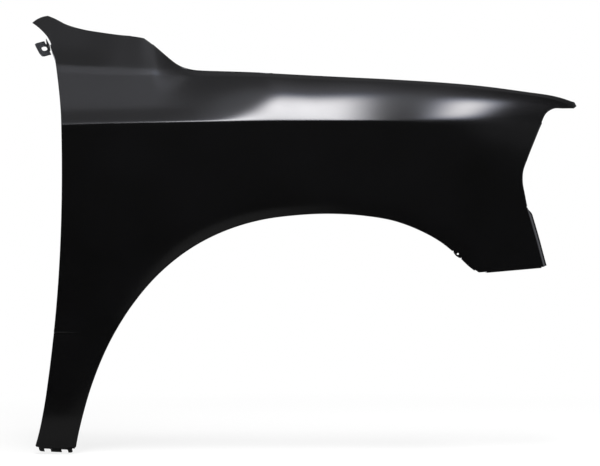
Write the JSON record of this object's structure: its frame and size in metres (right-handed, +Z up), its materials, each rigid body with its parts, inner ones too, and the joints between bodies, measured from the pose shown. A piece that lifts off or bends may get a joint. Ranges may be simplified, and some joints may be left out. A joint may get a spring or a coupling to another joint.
{
  "type": "front fender",
  "caption": "Right-hand front fender of a full-size pickup: one stamped steel panel with wheel arch, folded edges and a small folded bracket.",
  "frame": {"origin": "centre of the level bolt pad in the middle of the hood-line ledge, on the pad's underside, where the panel rests on the inner structure", "axes": "+X toward the front of the vehicle, +Y toward the middle of the vehicle (the painted outer face looks toward -Y), +Z up"},
  "size_m": [1.418, 0.3437, 1.1307],
  "materials": {
    "black_primer": "semi-gloss black electro-coat primer on sheet steel",
    "bracket_primer": "thin dark primer on folded sheet steel"
  },
  "bodies": {
    "root": {"fender_panel": "black_primer", "upper_rear_bracket": "bracket_primer"}
  },
  "joints": []
}
